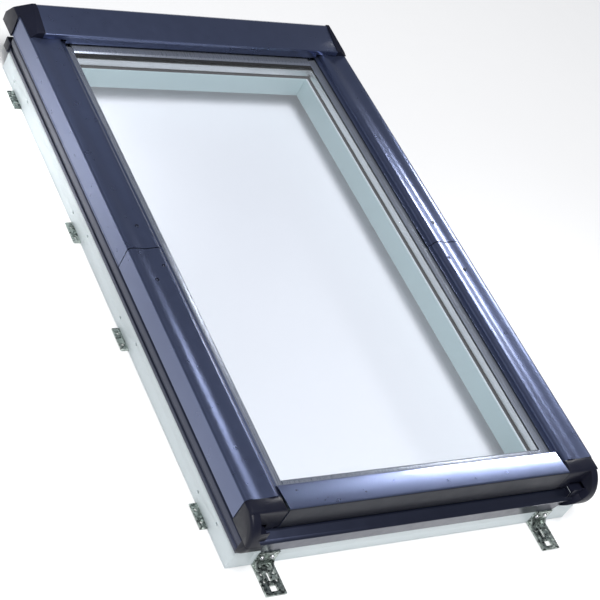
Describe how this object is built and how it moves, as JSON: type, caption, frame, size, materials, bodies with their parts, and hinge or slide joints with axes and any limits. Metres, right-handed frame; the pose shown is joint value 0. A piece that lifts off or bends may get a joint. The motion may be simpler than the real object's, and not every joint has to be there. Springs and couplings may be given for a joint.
{
  "type": "centre-pivot roof window",
  "caption": "Centre-pivot roof window without flashing: white timber frame and sash, insulating glass, dark blue-grey metal covers and hood, fixing brackets, lock and handle.",
  "frame": {"origin": "middle of the frame's underside, between the four frame timbers", "axes": "+X across the width, to the right seen from outside with the hood at the top; +Y up the roof slope; +Z out of the roof, the weather side"},
  "size_m": [0.768, 1.292, 0.1584],
  "materials": {
    "white_paint": "pine with a smooth white paint coat",
    "cover_paint": "blue-grey baked coating, satin gloss, on aluminium sheet",
    "rail_paint": "dark blue-grey coating on aluminium",
    "black_plastic": "black, slightly glossy moulded plastic",
    "grey_plastic": "dark grey moulded plastic",
    "seal_rubber": "matt black",
    "bead_metal": "coated aluminium section, satin",
    "zinc_steel": "galvanised steel",
    "screw_steel": "zinc plated",
    "hinge_steel": "zinc plated sheet and castings",
    "spacer_metal": "mill finish",
    "clear_glass": "clear float glass, faint green edge",
    "handle_metal": "satin anodised"
  },
  "bodies": {
    "frame": {"frame_left": "white_paint", "frame_right": "white_paint", "frame_top": "white_paint", "frame_bottom": "white_paint", "flashing_rail_left": "rail_paint", "flashing_rail_right": "rail_paint", "rail_clips": "black_plastic", "frame_seals": "seal_rubber", "frame_bottom_cover": "rail_paint", "frame_bottom_support": "grey_plastic", "frame_corners": "black_plastic", "hood": "cover_paint", "hood_support": "grey_plastic", "hood_cap_left": "black_plastic", "hood_cap_right": "black_plastic", "upper_cover_left": "cover_paint", "upper_cover_right": "cover_paint", "upper_cover_blocks": "grey_plastic", "upper_cover_screws": "screw_steel", "side_plates": "zinc_steel", "side_plate_screws": "screw_steel", "bracket_left": "zinc_steel", "bracket_right": "zinc_steel", "bracket_screws": "screw_steel", "strikers": "hinge_steel", "striker_screws": "screw_steel", "hinge_track_left": "hinge_steel", "hinge_track_right": "hinge_steel"},
    "sash": {"sash_left": "white_paint", "sash_right": "white_paint", "sash_top": "white_paint", "sash_bottom": "white_paint", "glass_bedding": "seal_rubber", "inner_pane": "clear_glass", "spacer": "spacer_metal", "edge_seal": "seal_rubber", "outer_pane": "clear_glass", "setting_blocks": "grey_plastic", "bead_seal_strip": "seal_rubber", "bead_left": "bead_metal", "bead_right": "bead_metal", "bead_top": "bead_metal", "bead_bottom": "bead_metal", "lower_cover_left": "cover_paint", "lower_cover_right": "cover_paint", "lower_cover_blocks": "grey_plastic", "lower_cover_screws": "screw_steel", "cover_cap_left": "black_plastic", "cover_cap_right": "black_plastic", "sash_bottom_cover": "cover_paint", "sash_bottom_blocks": "grey_plastic", "hinge_shoe_left": "hinge_steel", "hinge_shoe_right": "hinge_steel", "gearbox_case": "hinge_steel", "forend": "hinge_steel", "rosette": "handle_metal"},
    "handle": {"handle": "handle_metal"},
    "rod": {"drive_rod": "hinge_steel", "lock_cams": "screw_steel"}
  },
  "joints": [
    {"name": "sash_pivot", "type": "hinge", "parent": "frame", "child": "sash", "pos_m": [0, 0, 0.129], "axis": [-1, 0, 0], "range_deg": [0, 145]},
    {"name": "handle_turn", "type": "hinge", "parent": "sash", "child": "handle", "pos_m": [0, -0.52, 0.04], "axis": [0, 0, 1], "range_deg": [0, 90]},
    {"name": "rod_slide", "type": "slide", "parent": "sash", "child": "rod", "axis": [1, 0, 0], "range_m": [0, 0.018]}
  ],
  "couplings": [
    {"joint": "rod_slide", "follows": "handle_turn", "m_per_rad": 0.011459}
  ]
}
